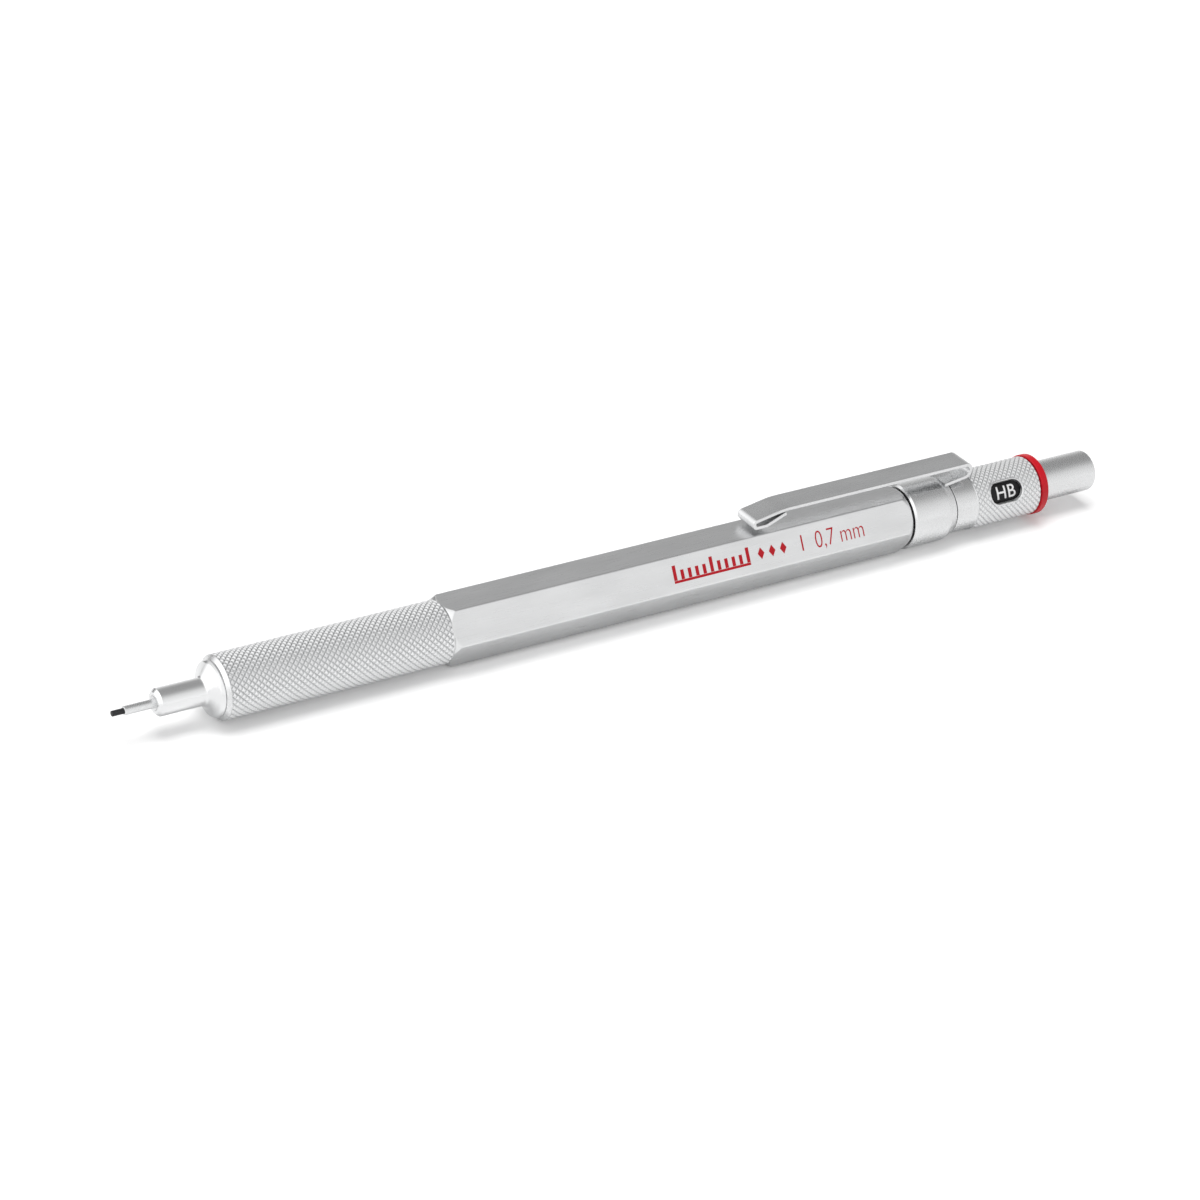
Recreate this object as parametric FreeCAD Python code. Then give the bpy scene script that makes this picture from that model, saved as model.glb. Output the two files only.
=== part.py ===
import FreeCAD, Part
import math
import os

# A metal drafting pencil: push button at +X, lead tip at -X, pocket clip on top (+Z).
# Every station below is measured in millimetres along the axis from the end of the lead
# sleeve toward the push button. place() moves the finished shapes into the part's own frame,
# whose origin is under the middle of the pencil at the height of its lowest point.
TIP_OUT = 1.5             # bare lead ahead of the sleeve
LENGTH = 142.0            # lead sleeve tip to push button end
BAND_R = 4.3              # clip band, the widest round part
SHIFT = FreeCAD.Vector(-(LENGTH - TIP_OUT) / 2, 0, BAND_R)

# Nose and lead
LEAD_R = 0.35
LEAD_END = 48.5
SLEEVE_R, SLEEVE_COLLAR_R, SLEEVE_BORE_R = 0.55, 0.90, 0.38
SLEEVE_SHOULDER, SLEEVE_END = 3.88, 6.2
NOSE_R, FLANGE_R = 1.70, 3.50
NOSE_FRONT, NOSE_BACK = 3.9, 11.55
SPIGOT_R, SPIGOT_END = 2.9, 16.1
RETAINER_R, RETAINER_START, RETAINER_END = 1.15, 6.4, 8.8
CHUCK_CAVITY_R, RING_CAVITY_R, RING_STOP = 1.40, 2.2, 12.95

# Grip sleeve
GRIP_R, GRIP_BORE_R = 3.99, 2.75
GRIP_START, GRIP_END, GRIP_SPIGOT_END = 11.6, 42.1, 50.0
GRIP_SPIGOT_R = 3.1
SOCKET_R, SOCKET_END = 2.91, 17.0

# Feed mechanism
PRESS = 4.0               # push button stroke
CHUCK_R, NECK_R, CHUCK_START, CHUCK_END = 1.32, 1.05, 13.2, 33.0
TAPER_START, TAPER_END = 13.9, 16.0
RING_R, RING_START, RING_END = 2.1, 13.8, 16.17
HOUSING_R, HOUSING_START, HOUSING_END = 2.7, 16.2, 36.0
CHAMBER_R, CHAMBER_START = 2.2, 18.2
COUPLER_R, COUPLER_START, COUPLER_FACE, COUPLER_END = 2.1, 30.0, 37.0, 41.0
TUBE_R, TUBE_BORE_R, TUBE_START, TUBE_END = 2.0, 1.5, 37.05, 137.0
SPRING_START, SPRING_END, SPRING_TURNS = 18.4, 29.8, 9
SPRING_R, WIRE_R = 1.75, 0.17
SPARE_START, SPARE_LENGTH, SPARE_COUNT, SPARE_STEP_DEG = 53.0, 60.0, 3, 37.0

# Hexagonal barrel
HEX_CORNER_R, HEX_EDGE_ROUND = 4.48, 0.25
HEX_START, HEX_END = 42.2, 110.7
HEX_BORE_R, HEX_SOCKET_R, HEX_SOCKET_END = 3.22, 3.12, 50.5

# Rear bushing, clip band, hardness indicator and end ring
BUSHING_R, BUSHING_BORE_R, BUSHING_FLANGE_R = 3.2, 2.06, 3.75
BUSHING_START, BUSHING_END = 102.0, 124.8
DRUM_R, DRUM_BORE_R, DRUM_START, DRUM_END = 3.3, 2.8, 118.0, 132.5
BAND_BORE_R, BAND_START, BAND_SHOULDER, BAND_END = 3.4, 110.95, 116.5, 118.0
BAND_CHAMFER = 0.25
RING_BORE_R, SMOOTH_R, KNURL_R = 3.34, 3.75, 3.87
TURN_START, KNURL_START, KNURL_END, TURN_END = 118.08, 121.4, 131.6, 131.75
WINDOW_STATION, WINDOW_LENGTH, WINDOW_WIDTH, WINDOW_DEG = 126.15, 5.1, 2.95, 30.0
END_RING_R, END_RING_START, END_RING_END = 4.0, 131.85, 132.9

# Push button and eraser
BUTTON_R, BUTTON_BORE_R, BUTTON_START, BUTTON_WALL = 2.69, 2.04, 129.5, 0.6
FERRULE_R, FERRULE_PLUG_R, FERRULE_START, FERRULE_END = 1.98, 1.47, 133.5, 139.2
ERASER_R, ERASER_START, ERASER_END = 1.78, 137.55, 141.1
PIN_R, PIN_START, PIN_END = 0.27, 116.0, 136.0

# Pocket clip, a strip of sheet bent to shape
CLIP_WIDTH, CLIP_SHEET = 3.55, 0.5
CLIP_TOP, CLIP_NOSE, CLIP_TOE = 6.30, 86.45, 4.60
CLIP_BEND_STATION, CLIP_BEND_R = 120.95, 0.87
FOOT_STATION, FOOT_HEIGHT, FOOT_R, FOOT_PLAY = 116.9, 4.06, 0.25, 0.02


def place(shape):
    """Moves a shape from axis stations into the part's own frame."""
    shape.translate(SHIFT)
    return shape


def rounded_outline(corners):
    """A closed wire through (station, height[, rounding]) corners in the plane of the axis."""
    points = [FreeCAD.Vector(c[0], 0, c[1]) for c in corners]
    stops = []
    for i, corner in enumerate(corners):
        here = points[i]
        if len(corner) < 3:
            stops.append((here, None, here))
            continue
        before = (points[i - 1] - here).normalize()
        after = (points[(i + 1) % len(points)] - here).normalize()
        half = before.getAngle(after) / 2
        back = corner[2] / math.tan(half)
        inward = (before + after).normalize()
        middle = here + inward * (corner[2] / math.sin(half) - corner[2])
        stops.append((here + before * back, middle, here + after * back))
    edges = []
    for i, (first, middle, last) in enumerate(stops):
        if middle:
            edges.append(Part.Arc(first, middle, last).toShape())
        following = stops[(i + 1) % len(stops)][0]
        if last.distanceToPoint(following) > 1e-6:
            edges.append(Part.makeLine(last, following))
    return Part.Wire(edges)


def turned(corners):
    """A solid of revolution about the pencil's axis."""
    face = Part.Face(rounded_outline(corners))
    return face.revolve(FreeCAD.Vector(0, 0, 0), FreeCAD.Vector(1, 0, 0), 360)


def rod(start, end, radius, height=0.0, side=0.0):
    """A plain round bar along the axis, offset sideways and upward."""
    base = FreeCAD.Vector(start, side, height)
    return Part.makeCylinder(radius, end - start, base, FreeCAD.Vector(1, 0, 0))


def lead():
    return rod(-TIP_OUT, LEAD_END, LEAD_R)


def lead_sleeve():
    """The guide tube, held in the nose by a thicker collar."""
    return turned([
        (0, SLEEVE_BORE_R), (0, SLEEVE_R, 0.06), (SLEEVE_SHOULDER, SLEEVE_R),
        (SLEEVE_SHOULDER, SLEEVE_COLLAR_R), (SLEEVE_END, SLEEVE_COLLAR_R),
        (SLEEVE_END, SLEEVE_BORE_R),
    ])


def nose_cone():
    return turned([
        (NOSE_FRONT, SLEEVE_COLLAR_R + 0.01), (NOSE_FRONT, NOSE_R - 0.4),
        (NOSE_FRONT + 0.4, NOSE_R, 0.2), (10.0, NOSE_R, 0.35), (11.0, FLANGE_R - 0.15, 0.3),
        (NOSE_BACK - 0.15, FLANGE_R, 0.15),
        (NOSE_BACK, FLANGE_R - 0.12), (NOSE_BACK, SPIGOT_R), (SPIGOT_END - 0.25, SPIGOT_R),
        (SPIGOT_END, SPIGOT_R - 0.25), (SPIGOT_END, RING_CAVITY_R), (RING_STOP, RING_CAVITY_R),
        (RING_STOP, CHUCK_CAVITY_R), (9.0, CHUCK_CAVITY_R), (9.0, RETAINER_R + 0.01),
        (RETAINER_START, RETAINER_R + 0.01), (RETAINER_START, SLEEVE_COLLAR_R + 0.01),
    ])


def lead_retainer():
    return turned([
        (RETAINER_START, LEAD_R + 0.02), (RETAINER_START, RETAINER_R, 0.15),
        (RETAINER_END, RETAINER_R, 0.15), (RETAINER_END, LEAD_R + 0.02),
    ])


def grip_sleeve():
    """The knurled sleeve, drawn as a plain cylinder through the tips of its knurl."""
    return turned([
        (GRIP_START, SOCKET_R), (GRIP_START, GRIP_R - 0.44), (GRIP_START + 0.4, GRIP_R),
        (GRIP_END - 0.15, GRIP_R), (GRIP_END, GRIP_R - 0.15), (GRIP_END, GRIP_SPIGOT_R),
        (GRIP_SPIGOT_END - 0.3, GRIP_SPIGOT_R), (GRIP_SPIGOT_END, GRIP_SPIGOT_R - 0.3),
        (GRIP_SPIGOT_END, GRIP_BORE_R), (SOCKET_END, GRIP_BORE_R), (SOCKET_END, SOCKET_R),
    ])


def chuck_housing():
    """Holds the feed spring and is clamped at its flange between nose and grip sleeve."""
    flange_r = SOCKET_R - 0.03
    return turned([
        (HOUSING_START, NECK_R + 0.1), (HOUSING_START, flange_r), (SOCKET_END - 0.05, flange_r),
        (SOCKET_END - 0.05, HOUSING_R), (HOUSING_END, HOUSING_R), (HOUSING_END, CHAMBER_R),
        (CHAMBER_START, CHAMBER_R), (CHAMBER_START, NECK_R + 0.1),
    ])


def clutch_ring():
    """The ring that squeezes the chuck's jaws; its bore follows the jaws' taper."""
    play = 0.03
    slope = (CHUCK_R - NECK_R) / (TAPER_END - TAPER_START)
    mouth = NECK_R + play + slope * (TAPER_END - RING_START)
    return turned([
        (RING_START, mouth), (RING_START, RING_R, 0.1), (RING_END, RING_R, 0.1),
        (RING_END, NECK_R + play), (TAPER_END, NECK_R + play),
    ])


def chuck():
    """A three-jaw collet: tapered head, thin neck, lead-gripping nose bore."""
    body = turned([
        (CHUCK_START, LEAD_R + 0.015), (CHUCK_START, CHUCK_R - 0.15), (CHUCK_START + 0.15, CHUCK_R),
        (TAPER_START, CHUCK_R), (TAPER_END, NECK_R), (CHUCK_END, NECK_R), (CHUCK_END, 0.45),
        (TAPER_END, 0.45), (TAPER_END, LEAD_R + 0.015),
    ])
    slit_length, slit_width = 10.0, 0.18
    for angle in (0, 120, 240):
        slit = Part.makeBox(slit_length, slit_width, CHUCK_R + 1,
                            FreeCAD.Vector(CHUCK_START - 1, -slit_width / 2, 0))
        slit.rotate(FreeCAD.Vector(0, 0, 0), FreeCAD.Vector(1, 0, 0), angle)
        body = body.cut(slit)
    return body


def chuck_coupler():
    """Screws the chuck's stem to the reservoir tube and carries the spring's rear end."""
    spigot_r = TUBE_BORE_R - 0.02
    return turned([
        (COUPLER_START, NECK_R + 0.01), (COUPLER_START, COUPLER_R, 0.15), (COUPLER_FACE, COUPLER_R),
        (COUPLER_FACE, spigot_r), (COUPLER_END, spigot_r), (COUPLER_END, 0.5),
        (CHUCK_END + 0.1, 0.5), (CHUCK_END + 0.1, NECK_R + 0.01),
    ])


def reservoir_tube():
    return turned([
        (TUBE_START, TUBE_BORE_R), (TUBE_START, TUBE_R), (TUBE_END, TUBE_R, 0.15),
        (TUBE_END, TUBE_BORE_R),
    ])


def spare_leads():
    """Spare leads lying side by side on the floor of the reservoir tube."""
    lie_r = TUBE_BORE_R - LEAD_R - 0.01
    leads = []
    for k in range(SPARE_COUNT):
        angle = math.radians(-90 + (k - (SPARE_COUNT - 1) / 2) * SPARE_STEP_DEG)
        leads.append(rod(SPARE_START, SPARE_START + SPARE_LENGTH, LEAD_R,
                         lie_r * math.sin(angle), lie_r * math.cos(angle)))
    return Part.makeCompound(leads)


def return_spring():
    """A helical compression spring around the chuck's neck."""
    length = SPRING_END - SPRING_START - 2 * WIRE_R
    helix = Part.makeHelix(length / SPRING_TURNS, length, SPRING_R)
    section = Part.Wire(Part.makeCircle(
        WIRE_R, FreeCAD.Vector(SPRING_R, 0, 0), FreeCAD.Vector(0, 1, 0)))
    coil = Part.Wire(helix.Edges).makePipeShell([section], True, True)
    coil.rotate(FreeCAD.Vector(0, 0, 0), FreeCAD.Vector(0, 1, 0), 90)
    coil.translate(FreeCAD.Vector(SPRING_START + WIRE_R, 0, 0))
    return coil


def hex_barrel():
    """A hexagonal tube with flats up and down and its ends turned down to a cone."""
    corners = [FreeCAD.Vector(HEX_START, HEX_CORNER_R * math.cos(math.radians(60 * k)),
                              HEX_CORNER_R * math.sin(math.radians(60 * k))) for k in range(7)]
    bar = Part.Face(Part.makePolygon(corners)).extrude(
        FreeCAD.Vector(HEX_END - HEX_START, 0, 0))
    long_edges = [e for e in bar.Edges if e.Length > HEX_CORNER_R * 2]
    bar = bar.makeFillet(HEX_EDGE_ROUND, long_edges)
    skin = turned([
        (HEX_START, HEX_SOCKET_R), (HEX_START, GRIP_R - 0.02), (HEX_START + 0.75, HEX_CORNER_R + 0.03),
        (HEX_END - 1.1, HEX_CORNER_R + 0.03), (HEX_END, GRIP_R - 0.09), (HEX_END, HEX_BORE_R),
        (HEX_SOCKET_END, HEX_BORE_R), (HEX_SOCKET_END, HEX_SOCKET_R),
    ])
    return bar.common(skin)


def rear_bushing():
    """The plastic core that joins barrel, clip band and hardness drum and guides the tube."""
    return turned([
        (BUSHING_START, BUSHING_BORE_R), (BUSHING_START, BUSHING_R), (HEX_END + 0.02, BUSHING_R),
        (HEX_END + 0.02, BUSHING_FLANGE_R), (BAND_START - 0.05, BUSHING_FLANGE_R),
        (BAND_START - 0.05, BAND_BORE_R - 0.05), (DRUM_START - 0.1, BAND_BORE_R - 0.05),
        (DRUM_START - 0.1, DRUM_BORE_R - 0.02), (BUSHING_END, DRUM_BORE_R - 0.02),
        (BUSHING_END, BUSHING_BORE_R),
    ])


def clip_band():
    """The ring behind the barrel, notched on top for the clip's foot."""
    band = turned([
        (BAND_START, BAND_BORE_R), (BAND_START, BAND_R - BAND_CHAMFER),
        (BAND_START + BAND_CHAMFER, BAND_R),
        (BAND_SHOULDER, BAND_R), (BAND_END, SMOOTH_R), (BAND_END, BAND_BORE_R),
    ])
    half = CLIP_WIDTH / 2 + 0.05
    seat = Part.makeCylinder(FOOT_R + FOOT_PLAY, 2 * half,
                             FreeCAD.Vector(FOOT_STATION, -half, FOOT_HEIGHT), FreeCAD.Vector(0, 1, 0))
    notch = Part.makeBox(BAND_END - FOOT_STATION + 1, 2 * half, 2,
                         FreeCAD.Vector(FOOT_STATION, -half, FOOT_HEIGHT - FOOT_R - FOOT_PLAY))
    top = Part.makeBox(2 * (FOOT_R + FOOT_PLAY), 2 * half, 1,
                       FreeCAD.Vector(FOOT_STATION - FOOT_R - FOOT_PLAY, -half, FOOT_HEIGHT))
    return band.cut(seat).cut(notch).cut(top)


def grade_drum():
    """The printed sleeve under the turning ring."""
    return turned([
        (DRUM_START, DRUM_BORE_R), (DRUM_START, DRUM_R), (DRUM_END, DRUM_R), (DRUM_END, DRUM_BORE_R),
    ])


def grade_ring():
    """The knurled ring that turns to show a lead hardness through its window."""
    ring = turned([
        (TURN_START, RING_BORE_R), (TURN_START, SMOOTH_R, 0.08), (KNURL_START, SMOOTH_R),
        (KNURL_START + 0.12, KNURL_R), (KNURL_END, KNURL_R), (TURN_END, KNURL_R - 0.15),
        (TURN_END, RING_BORE_R),
    ])
    half_length, half_width = WINDOW_LENGTH / 2, WINDOW_WIDTH / 2
    window = Part.makeBox(WINDOW_LENGTH, WINDOW_WIDTH, KNURL_R,
                          FreeCAD.Vector(WINDOW_STATION - half_length, -half_width, 1))
    window = window.makeFillet(0.9, [e for e in window.Edges
                                     if abs(e.Vertexes[0].Z - e.Vertexes[1].Z) > 1])
    window.rotate(FreeCAD.Vector(0, 0, 0), FreeCAD.Vector(1, 0, 0), 90 - WINDOW_DEG)
    return ring.cut(window)


def red_end_ring():
    """The coloured ring that closes the drum and leaves a hole for the push button."""
    lip = DRUM_END + 0.02
    return turned([
        (END_RING_START, DRUM_R + 0.01), (END_RING_START, END_RING_R, 0.12),
        (END_RING_END, END_RING_R, 0.12), (END_RING_END, DRUM_BORE_R), (lip, DRUM_BORE_R),
        (lip, DRUM_R + 0.01),
    ])


def button_cap():
    inside = LENGTH - BUTTON_WALL
    return turned([
        (BUTTON_START, BUTTON_BORE_R), (BUTTON_START, BUTTON_R, 0.1), (LENGTH, BUTTON_R, 0.35),
        (LENGTH, 0), (inside, 0), (inside, BUTTON_BORE_R),
    ])


def eraser_ferrule():
    """Plugs the tube and holds the eraser in a thin cup."""
    return turned([
        (FERRULE_START, 0), (FERRULE_START, FERRULE_PLUG_R), (TUBE_END + 0.05, FERRULE_PLUG_R),
        (TUBE_END + 0.05, FERRULE_R), (FERRULE_END, FERRULE_R), (FERRULE_END, ERASER_R + 0.01),
        (ERASER_START - 0.02, ERASER_R + 0.01), (ERASER_START - 0.02, 0),
    ]).cut(rod(FERRULE_START, PIN_END + 0.02, PIN_R + 0.01))


def eraser():
    return turned([
        (ERASER_START, 0), (ERASER_START, ERASER_R), (ERASER_END, ERASER_R, 0.3), (ERASER_END, 0),
    ])


def cleaning_pin():
    return rod(PIN_START, PIN_END, PIN_R)


def offset_strip(path, thickness):
    """Corners of a strip of even thickness either side of a bent centreline.

    path holds (station, height, bend radius) with 0 where the strip starts and ends.
    """
    points = [FreeCAD.Vector(p[0], 0, p[1]) for p in path]
    runs = [(points[i + 1] - points[i]).normalize() for i in range(len(points) - 1)]
    sides = []
    for sign in (1, -1):
        side = []
        for i, point in enumerate(points):
            before, after = runs[max(i - 1, 0)], runs[min(i, len(runs) - 1)]
            normal_before = FreeCAD.Vector(-before.z, 0, before.x)
            normal_after = FreeCAD.Vector(-after.z, 0, after.x)
            mitre = (normal_before + normal_after).normalize()
            reach = thickness / 2 / mitre.dot(normal_after)
            at = point + mitre * (sign * reach)
            turn = before.x * after.z - before.z * after.x
            radius = path[i][2] - sign * math.copysign(thickness / 2, turn)
            side.append((at.x, at.z, radius) if path[i][2] else (at.x, at.z))
        sides.append(side)
    return sides[0] + sides[1][::-1]


def pocket_clip():
    """The spring clip: foot, rear bend, flat top and a nose folded back under itself."""
    rise = math.tan(math.radians(8.7))
    path = [
        (FOOT_STATION, FOOT_HEIGHT, 0),
        (CLIP_BEND_STATION, FOOT_HEIGHT + rise * (CLIP_BEND_STATION - FOOT_STATION), CLIP_BEND_R),
        (CLIP_BEND_STATION, CLIP_TOP, CLIP_BEND_R),
        (91.2, CLIP_TOP, 12.0),
        (CLIP_NOSE, 5.42, 0.42),
        (CLIP_NOSE + 0.65, CLIP_TOE, 0.35),
        (88.8, CLIP_TOE, 1.4),
        (91.6, 5.72, 0),
    ]
    outline = rounded_outline(offset_strip(path, CLIP_SHEET))
    strip = Part.Face(outline).extrude(FreeCAD.Vector(0, CLIP_WIDTH, 0))
    strip.translate(FreeCAD.Vector(0, -CLIP_WIDTH / 2, 0))
    foot = Part.makeCylinder(FOOT_R, CLIP_WIDTH,
                             FreeCAD.Vector(FOOT_STATION, -CLIP_WIDTH / 2, FOOT_HEIGHT),
                             FreeCAD.Vector(0, 1, 0))
    return strip.fuse(foot).removeSplitter()


PIECES = {
    "lead": lead, "lead_sleeve": lead_sleeve, "nose_cone": nose_cone,
    "lead_retainer": lead_retainer, "grip_sleeve": grip_sleeve, "chuck_housing": chuck_housing,
    "clutch_ring": clutch_ring, "chuck": chuck, "chuck_coupler": chuck_coupler,
    "reservoir_tube": reservoir_tube, "spare_leads": spare_leads, "return_spring": return_spring,
    "hex_barrel": hex_barrel, "rear_bushing": rear_bushing, "clip_band": clip_band,
    "grade_drum": grade_drum, "grade_ring": grade_ring, "red_end_ring": red_end_ring,
    "button_cap": button_cap, "eraser_ferrule": eraser_ferrule, "eraser": eraser,
    "cleaning_pin": cleaning_pin, "pocket_clip": pocket_clip,
}

os.makedirs("parts", exist_ok=True)
for name, build in PIECES.items():
    shape = place(build())
    shape.exportStep(f"parts/{name}.step")
    print(f"{name}: solids {len(shape.Solids)} volume {shape.Volume:.2f} valid {shape.isValid()}")
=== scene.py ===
import math

import bmesh
import bpy
from mathutils import Matrix, Vector


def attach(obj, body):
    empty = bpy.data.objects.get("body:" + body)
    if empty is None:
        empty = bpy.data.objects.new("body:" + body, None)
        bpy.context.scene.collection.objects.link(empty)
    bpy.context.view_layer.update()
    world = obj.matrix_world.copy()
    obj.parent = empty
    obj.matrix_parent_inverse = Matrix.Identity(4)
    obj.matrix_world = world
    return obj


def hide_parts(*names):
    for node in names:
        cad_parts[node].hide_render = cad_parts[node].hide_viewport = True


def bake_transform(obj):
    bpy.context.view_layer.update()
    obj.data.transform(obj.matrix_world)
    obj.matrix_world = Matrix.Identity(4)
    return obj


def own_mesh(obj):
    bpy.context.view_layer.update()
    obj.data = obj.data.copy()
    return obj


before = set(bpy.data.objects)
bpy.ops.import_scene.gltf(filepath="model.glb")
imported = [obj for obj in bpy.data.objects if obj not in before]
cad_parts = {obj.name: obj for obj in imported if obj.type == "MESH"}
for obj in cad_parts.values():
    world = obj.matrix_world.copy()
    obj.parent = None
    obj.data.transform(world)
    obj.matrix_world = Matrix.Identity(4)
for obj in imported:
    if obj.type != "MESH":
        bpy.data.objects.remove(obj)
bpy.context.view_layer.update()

# Sizes below are in millimetres, as stations along the pencil from the end of the lead sleeve
# toward the push button, and as heights or radii about the pencil's axis.
MM = 0.001
MID_STATION = 70.25
AXIS_HEIGHT = 4.3


# ---------------------------------------------------------------- shapes

def in_frame(station, side, height):
    return Vector(((station - MID_STATION) * MM, side * MM, (height + AXIS_HEIGHT) * MM))


def on_round(station, radius, angle):
    """A point at an angle above the -Y side of the axis."""
    return in_frame(station, -radius * math.cos(angle), radius * math.sin(angle))


def round_corners(corners, steps=5, closed=True):
    """Turns (along, out[, rounding]) corners into a smooth run of 2D points."""
    run = []
    count = len(corners)
    for i, corner in enumerate(corners):
        here = Vector(corner[:2])
        at_end = not closed and i in (0, count - 1)
        if len(corner) < 3 or not corner[2] or at_end:
            run.append(here)
            continue
        before = (Vector(corners[i - 1][:2]) - here).normalized()
        after = (Vector(corners[(i + 1) % count][:2]) - here).normalized()
        half = before.angle(after) / 2
        centre = here + (before + after).normalized() * (corner[2] / math.sin(half))
        first = here + before * (corner[2] / math.tan(half)) - centre
        turn = math.pi - 2 * half
        if before.x * after.y - before.y * after.x > 0:
            turn = -turn
        for k in range(steps + 1):
            angle = turn * k / steps
            run.append(centre + Vector((first.x * math.cos(angle) - first.y * math.sin(angle),
                                        first.x * math.sin(angle) + first.y * math.cos(angle))))
    return run


def shored(run, closed=True, reach=0.05):
    """Adds a point close to each end of every long step, so that flats shade flat."""
    out = []
    count = len(run) if closed else len(run) - 1
    for i in range(count):
        here, following = run[i], run[(i + 1) % len(run)]
        length = (following - here).length
        out.append(here)
        if length > 6 * reach:
            out += [here.lerp(following, reach / length), following.lerp(here, reach / length)]
    return out if closed else out + [run[-1]]


def finish_mesh(name, mesh_edit, material, crease_deg=35, outward=True):
    """Writes a bmesh out as a smooth-shaded object with its hard edges kept."""
    bmesh.ops.remove_doubles(mesh_edit, verts=mesh_edit.verts, dist=1e-7)
    if outward:
        bmesh.ops.recalc_face_normals(mesh_edit, faces=mesh_edit.faces)
    for face in mesh_edit.faces:
        face.smooth = True
    for edge in mesh_edit.edges:
        if len(edge.link_faces) == 2:
            edge.smooth = edge.calc_face_angle(0) < math.radians(crease_deg)
    mesh = bpy.data.meshes.new(name)
    mesh_edit.to_mesh(mesh)
    mesh_edit.free()
    piece = bpy.data.objects.new(name, mesh)
    bpy.context.scene.collection.objects.link(piece)
    piece.data.materials.append(material)
    return piece


def add_rings(mesh_edit, rings, closed_run):
    """Skins a list of rings, each a list of points round the same loop."""
    rows = [[mesh_edit.verts.new(p) for p in ring] for ring in rings]
    last = len(rows) if closed_run else len(rows) - 1
    for i in range(last):
        low, high = rows[i], rows[(i + 1) % len(rows)]
        for j in range(len(low)):
            k = (j + 1) % len(low)
            mesh_edit.faces.new((low[j], low[k], high[k], high[j]))
    return rows


def add_turned(mesh_edit, corners, around=128):
    """Adds a turned solid: a closed outline of stations and radii swept round the axis."""
    rings = []
    for point in shored(round_corners(corners)):
        rings.append([on_round(point.x, max(point.y, 0), math.tau * j / around)
                      for j in range(around)])
    return add_rings(mesh_edit, rings, True)


def add_plain_ends(mesh_edit, corners):
    """Adds the smooth turned part of a knurled piece, in the piece's second material."""
    before = set(mesh_edit.faces)
    add_turned(mesh_edit, corners)
    for face in set(mesh_edit.faces) - before:
        face.material_index = 1


def turned(name, material, *outlines):
    mesh_edit = bmesh.new()
    for corners in outlines:
        add_turned(mesh_edit, corners)
    return finish_mesh(name, mesh_edit, material)


# ---------------------------------------------------------------- node helpers

def node(tree, kind, **settings):
    made = tree.nodes.new(kind)
    for key, value in settings.items():
        setattr(made, key, value)
    return made


def wire(tree, source, target):
    tree.links.new(source, target)


def maths(tree, operation, first, second=None):
    """A maths node whose inputs are numbers or sockets; returns its output."""
    made = node(tree, "ShaderNodeMath", operation=operation)
    for socket, value in zip(made.inputs, (first, second)):
        if value is None:
            continue
        if isinstance(value, (int, float)):
            socket.default_value = value
        else:
            wire(tree, value, socket)
    return made.outputs[0]


# ---------------------------------------------------------------- finishes

def new_finish(name, **values):
    """A material with its Principled sockets set directly; returns (material, tree, shader)."""
    material = bpy.data.materials.new(name)
    material.use_nodes = True
    tree = material.node_tree
    shader = tree.nodes["Principled BSDF"]
    for key, value in values.items():
        shader.inputs[key.replace("_", " ")].default_value = value
    return material, tree, shader


def grain(tree, stretch, scale, detail=4.0):
    """Noise on millimetre coordinates, drawn out along any axis by a small stretch value."""
    place = node(tree, "ShaderNodeTexCoord")
    mapping = node(tree, "ShaderNodeMapping")
    mapping.inputs["Scale"].default_value = [1000 * s for s in stretch]
    wire(tree, place.outputs["Object"], mapping.inputs["Vector"])
    noise = node(tree, "ShaderNodeTexNoise")
    noise.inputs["Scale"].default_value = scale
    noise.inputs["Detail"].default_value = detail
    wire(tree, mapping.outputs[0], noise.inputs["Vector"])
    return noise.outputs["Fac"]


def spread(tree, value, low, high, from_low=0.3, from_high=0.7):
    ranged = node(tree, "ShaderNodeMapRange")
    wire(tree, value, ranged.inputs["Value"])
    for key, number in (("From Min", from_low), ("From Max", from_high),
                        ("To Min", low), ("To Max", high)):
        ranged.inputs[key].default_value = number
    return ranged.outputs[0]


def tint(tree, shader, value, dark, light):
    ramp = node(tree, "ShaderNodeValToRGB")
    ramp.color_ramp.elements[0].position = 0.3
    ramp.color_ramp.elements[1].position = 0.7
    ramp.color_ramp.elements[0].color = (*dark, 1)
    ramp.color_ramp.elements[1].color = (*light, 1)
    wire(tree, value, ramp.inputs["Fac"])
    wire(tree, ramp.outputs["Color"], shader.inputs["Base Color"])


def relief(tree, shader, value, height_mm, strength=1.0):
    bump = node(tree, "ShaderNodeBump")
    bump.inputs["Distance"].default_value = height_mm * MM
    bump.inputs["Strength"].default_value = strength
    wire(tree, value, bump.inputs["Height"])
    wire(tree, bump.outputs["Normal"], shader.inputs["Normal"])


def plated(name, dark, light, rough_low, rough_high, stretch=(1, 1, 1), pit=0.002, scale=9.0):
    """Satin or polished plating: a fine even grain with a slow drift in sheen."""
    material, tree, shader = new_finish(name, Metallic=1.0)
    fine = grain(tree, stretch, scale)
    slow = grain(tree, (0.12, 0.5, 0.5), 1.0, 2.0)
    tint(tree, shader, slow, dark, light)
    wire(tree, spread(tree, fine, rough_low, rough_high), shader.inputs["Roughness"])
    relief(tree, shader, fine, pit)
    return material


# Painted shade: knurl grooves take the darker groove tone; the tip tone is the plating's own
# colour.
GROOVE_PAINTED_SHADE_TONE, TIP_TONE = (0.62, 0.625, 0.63), (0.79, 0.795, 0.80)
LIT_DEPTH = 0.55          # share of the tooth's depth below which painted shade starts to darken the tone


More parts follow.
